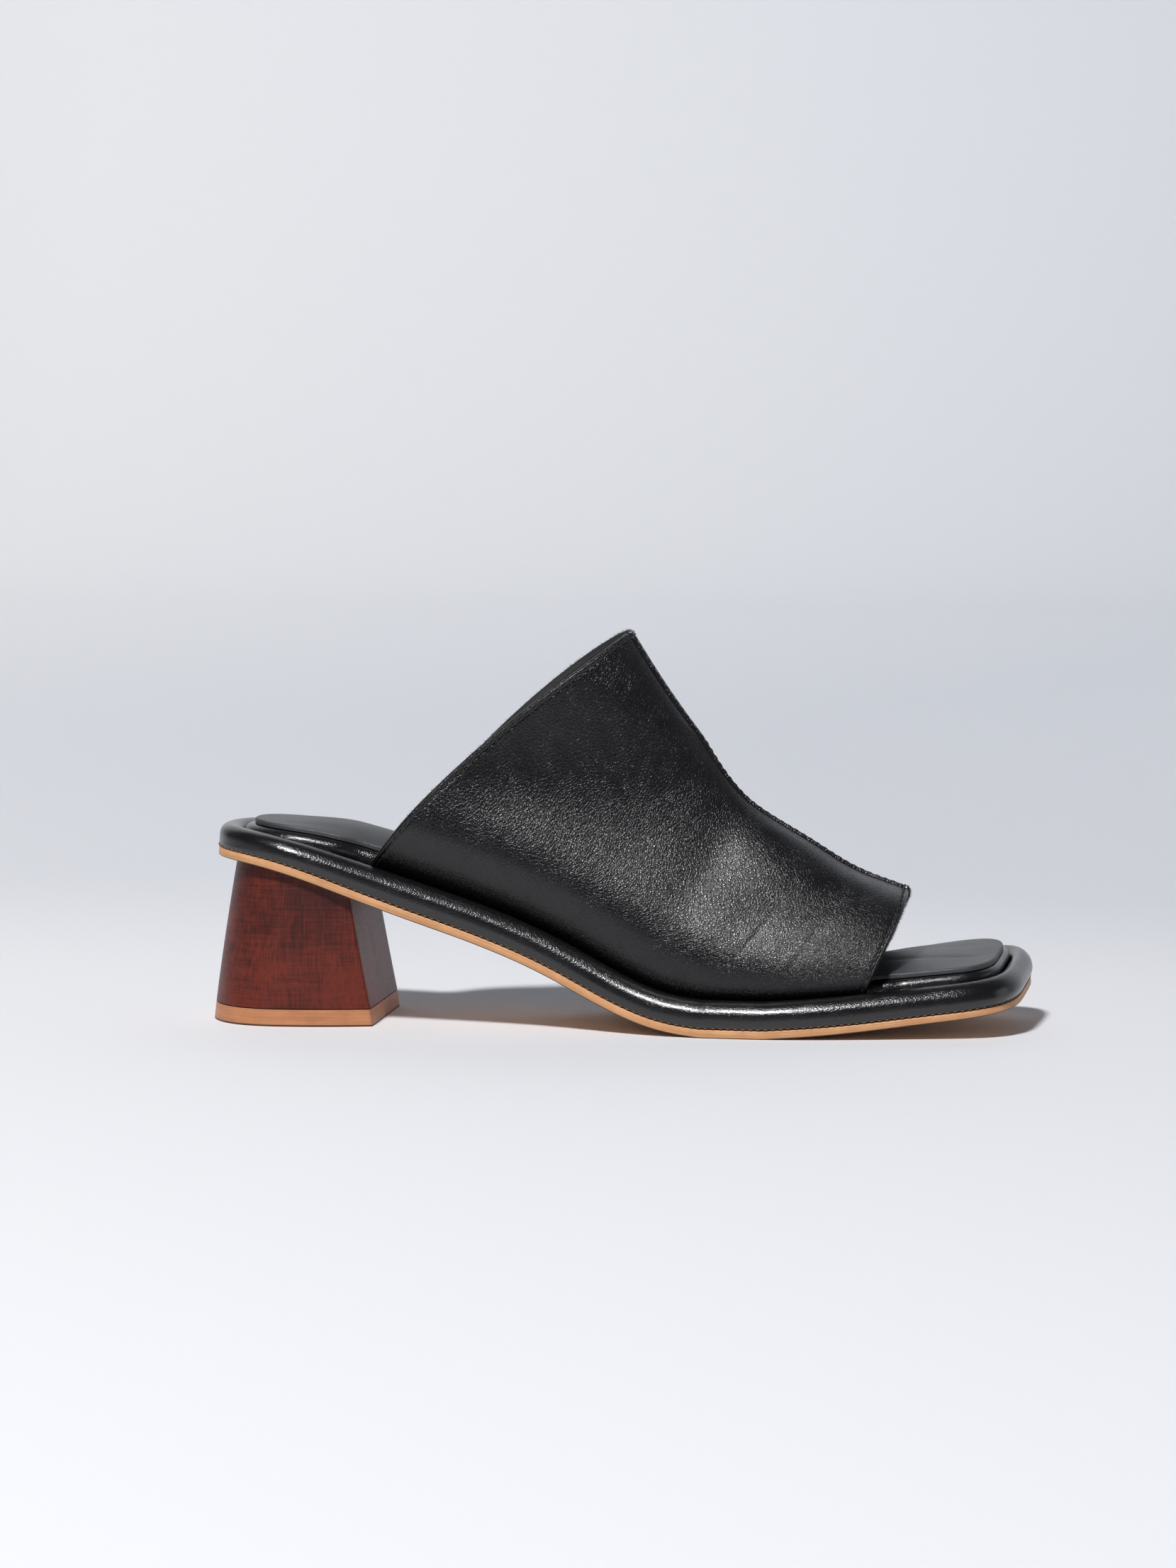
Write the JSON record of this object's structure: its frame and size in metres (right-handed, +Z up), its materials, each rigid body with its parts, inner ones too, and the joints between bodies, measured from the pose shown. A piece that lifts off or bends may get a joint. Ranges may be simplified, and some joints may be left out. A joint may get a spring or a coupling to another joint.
{
  "type": "heeled mule",
  "caption": "Right-foot open-toed leather mule with a square toe, a padded rim around the sole, a cushioned footbed and a flared wooden block heel.",
  "frame": {"origin": "on the floor, under the middle of the shoe's length and width", "axes": "+X from the heel to the toe, +Y towards the big toe, +Z up from the floor the shoe stands on"},
  "size_m": [0.253, 0.0838, 0.1219],
  "materials": {
    "tan_leather": "natural, lightly waxed edge",
    "rim_leather": "black, fine grain, semi-gloss",
    "footbed_leather": "black, fine grain, semi-gloss",
    "sock_leather": "black, smooth, matte",
    "upper_leather": "black, pebbled grain, semi-gloss",
    "mahogany": "red-brown stain, satin",
    "top_piece_tan": "light brown, satin"
  },
  "bodies": {
    "root": {"outsole": "tan_leather", "midsole_rim": "rim_leather", "footbed": "footbed_leather", "sock": "sock_leather", "upper": "upper_leather", "heel": "mahogany", "top_piece": "top_piece_tan"}
  },
  "joints": []
}
